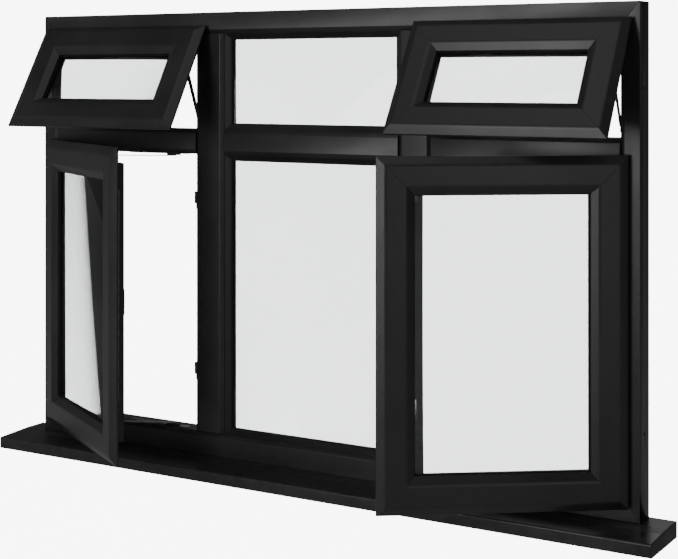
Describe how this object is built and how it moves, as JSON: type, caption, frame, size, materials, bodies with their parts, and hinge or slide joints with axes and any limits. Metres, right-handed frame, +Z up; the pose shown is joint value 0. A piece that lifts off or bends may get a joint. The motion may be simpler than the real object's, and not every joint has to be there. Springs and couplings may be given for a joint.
{
  "type": "multi-light casement window",
  "caption": "Satin black framed window with fixed middle lights, side-hung casements and top-hung vents on friction stays, and a projecting cill.",
  "frame": {"origin": "on the cill's underside, half way along the width, in line with the outer frame's front face", "axes": "+X along the width to the right as seen from outside, +Y indoors, +Z up"},
  "size_m": [1.934, 0.4092, 1.238],
  "materials": {
    "black_profile": "satin black extruded profile",
    "end_cap": "moulded satin black",
    "glass": "clear float glass",
    "spacer": "black warm-edge spacer",
    "gasket": "matt black rubber",
    "steel": "brushed stainless steel",
    "shoe_plastic": "grey-black nylon",
    "escutcheon": "satin black powder coat"
  },
  "bodies": {
    "frame": {"bottom_rail": "black_profile", "head_rail": "black_profile", "jamb_left": "black_profile", "jamb_right": "black_profile", "mullion_left": "black_profile", "mullion_right": "black_profile", "transoms": "black_profile", "cill": "black_profile", "cill_end_caps": "end_cap", "fixed_panes": "glass", "fixed_spacers": "spacer", "fixed_outer_lips": "black_profile", "fixed_gaskets": "gasket", "fixed_inner_beads": "black_profile", "stay_tracks": "steel", "lock_keeps": "steel"},
    "casement_left": {"casement_left_sash": "black_profile", "casement_left_panes": "glass", "casement_left_spacer": "spacer", "casement_left_seals": "gasket", "casement_left_bead": "black_profile", "casement_left_stay_plates": "steel", "casement_left_escutcheon": "escutcheon"},
    "casement_left_arms": {"casement_left_stay_arms": "steel"},
    "casement_left_shoes": {"casement_left_stay_shoes": "shoe_plastic"},
    "casement_left_lock": {"casement_left_lock_rod": "steel"},
    "casement_left_spindle": {"casement_left_spindle_hub": "steel"},
    "vent_left": {"vent_left_sash": "black_profile", "vent_left_panes": "glass", "vent_left_spacer": "spacer", "vent_left_seals": "gasket", "vent_left_bead": "black_profile", "vent_left_stay_plates": "steel", "vent_left_escutcheon": "escutcheon"},
    "vent_left_arms": {"vent_left_stay_arms": "steel"},
    "vent_left_shoes": {"vent_left_stay_shoes": "shoe_plastic"},
    "vent_left_lock": {"vent_left_lock_rod": "steel"},
    "vent_left_spindle": {"vent_left_spindle_hub": "steel"},
    "casement_right": {"casement_right_sash": "black_profile", "casement_right_panes": "glass", "casement_right_spacer": "spacer", "casement_right_seals": "gasket", "casement_right_bead": "black_profile", "casement_right_stay_plates": "steel", "casement_right_escutcheon": "escutcheon"},
    "casement_right_arms": {"casement_right_stay_arms": "steel"},
    "casement_right_shoes": {"casement_right_stay_shoes": "shoe_plastic"},
    "casement_right_lock": {"casement_right_lock_rod": "steel"},
    "casement_right_spindle": {"casement_right_spindle_hub": "steel"},
    "vent_right": {"vent_right_sash": "black_profile", "vent_right_panes": "glass", "vent_right_spacer": "spacer", "vent_right_seals": "gasket", "vent_right_bead": "black_profile", "vent_right_stay_plates": "steel", "vent_right_escutcheon": "escutcheon"},
    "vent_right_arms": {"vent_right_stay_arms": "steel"},
    "vent_right_shoes": {"vent_right_stay_shoes": "shoe_plastic"},
    "vent_right_lock": {"vent_right_lock_rod": "steel"},
    "vent_right_spindle": {"vent_right_spindle_hub": "steel"}
  },
  "joints": [
    {"name": "casement_left_swing", "type": "hinge", "parent": "frame", "child": "casement_left", "pos_m": [-0.884, -0.022, 0.4765], "axis": [0, 0, -1], "range_deg": [-31, 29]},
    {"name": "casement_left_arms_turn", "type": "hinge", "parent": "casement_left", "child": "casement_left_arms", "pos_m": [-0.69471, -0.08557, 0.4765], "axis": [0, 0, -1], "range_deg": [-52.23, 55.77]},
    {"name": "casement_left_shoes_turn", "type": "hinge", "parent": "casement_left_arms", "child": "casement_left_shoes", "pos_m": [-0.45078, 0.023, 0.4765], "axis": [0, 0, -1], "range_deg": [-24.77, 23.23]},
    {"name": "casement_left_spindle_turn", "type": "hinge", "parent": "casement_left", "child": "casement_left_spindle", "pos_m": [-0.42794, -0.22603, 0.4765], "axis": [0.515, 0.8572, 0], "range_deg": [0, 90]},
    {"name": "casement_left_lock_slide", "type": "slide", "parent": "casement_left", "child": "casement_left_lock", "axis": [0, 0, 1], "range_m": [0, 0.018]},
    {"name": "vent_left_swing", "type": "hinge", "parent": "frame", "child": "vent_left", "pos_m": [-0.606, -0.022, 1.208], "axis": [-1, 0, 0], "range_deg": [-30, 15]},
    {"name": "vent_left_arms_turn", "type": "hinge", "parent": "vent_left", "child": "vent_left_arms", "pos_m": [-0.606, -0.03526, 1.09903], "axis": [-1, 0, 0], "range_deg": [-26.87, 52.74]},
    {"name": "vent_left_shoes_turn", "type": "hinge", "parent": "vent_left_arms", "child": "vent_left_shoes", "pos_m": [-0.606, 0.023, 0.95432], "axis": [-1, 0, 0], "range_deg": [-22.74, 11.87]},
    {"name": "vent_left_spindle_turn", "type": "hinge", "parent": "vent_left", "child": "vent_left_spindle", "pos_m": [-0.606, -0.09954, 0.9537], "axis": [0, 0.866, -0.5], "range_deg": [0, 90]},
    {"name": "vent_left_lock_slide", "type": "slide", "parent": "vent_left", "child": "vent_left_lock", "axis": [1, 0, 0], "range_m": [0, 0.018]},
    {"name": "casement_right_swing", "type": "hinge", "parent": "frame", "child": "casement_right", "pos_m": [0.884, -0.022, 0.4765], "axis": [0, 0, 1], "range_deg": [-35, 25]},
    {"name": "casement_right_arms_turn", "type": "hinge", "parent": "casement_right", "child": "casement_right_arms", "pos_m": [0.6996, -0.09862, 0.4765], "axis": [0, 0, 1], "range_deg": [-45.18, 62.85]},
    {"name": "casement_right_shoes_turn", "type": "hinge", "parent": "casement_right_arms", "child": "casement_right_shoes", "pos_m": [0.46191, 0.023, 0.4765], "axis": [0, 0, 1], "range_deg": [-27.85, 20.18]},
    {"name": "casement_right_spindle_turn", "type": "hinge", "parent": "casement_right", "child": "casement_right_spindle", "pos_m": [0.44329, -0.25734, 0.4765], "axis": [-0.5736, 0.8192, 0], "range_deg": [-90, 0]},
    {"name": "casement_right_lock_slide", "type": "slide", "parent": "casement_right", "child": "casement_right_lock", "axis": [0, 0, 1], "range_m": [0, 0.018]},
    {"name": "vent_right_swing", "type": "hinge", "parent": "frame", "child": "vent_right", "pos_m": [0.606, -0.022, 1.208], "axis": [-1, 0, 0], "range_deg": [-30, 15]},
    {"name": "vent_right_arms_turn", "type": "hinge", "parent": "vent_right", "child": "vent_right_arms", "pos_m": [0.606, -0.03526, 1.09903], "axis": [-1, 0, 0], "range_deg": [-26.87, 52.74]},
    {"name": "vent_right_shoes_turn", "type": "hinge", "parent": "vent_right_arms", "child": "vent_right_shoes", "pos_m": [0.606, 0.023, 0.95432], "axis": [-1, 0, 0], "range_deg": [-22.74, 11.87]},
    {"name": "vent_right_spindle_turn", "type": "hinge", "parent": "vent_right", "child": "vent_right_spindle", "pos_m": [0.606, -0.09954, 0.9537], "axis": [0, 0.866, -0.5], "range_deg": [0, 90]},
    {"name": "vent_right_lock_slide", "type": "slide", "parent": "vent_right", "child": "vent_right_lock", "axis": [1, 0, 0], "range_m": [0, 0.018]}
  ],
  "couplings": [
    {"joint": "casement_left_arms_turn", "follows": "casement_left_swing", "ratio": -1.7667},
    {"joint": "casement_left_shoes_turn", "follows": "casement_left_swing", "ratio": 0.7667},
    {"joint": "casement_left_spindle_turn", "follows": "casement_left_lock_slide", "rad_per_m": 87.258},
    {"joint": "vent_left_arms_turn", "follows": "vent_left_swing", "ratio": -1.7246},
    {"joint": "vent_left_shoes_turn", "follows": "vent_left_swing", "ratio": 0.7246},
    {"joint": "vent_left_spindle_turn", "follows": "vent_left_lock_slide", "rad_per_m": 87.258},
    {"joint": "casement_right_arms_turn", "follows": "casement_right_swing", "ratio": -1.7671},
    {"joint": "casement_right_shoes_turn", "follows": "casement_right_swing", "ratio": 0.7671},
    {"joint": "casement_right_spindle_turn", "follows": "casement_right_lock_slide", "rad_per_m": -87.258},
    {"joint": "vent_right_arms_turn", "follows": "vent_right_swing", "ratio": -1.7246},
    {"joint": "vent_right_shoes_turn", "follows": "vent_right_swing", "ratio": 0.7246},
    {"joint": "vent_right_spindle_turn", "follows": "vent_right_lock_slide", "rad_per_m": 87.258}
  ]
}
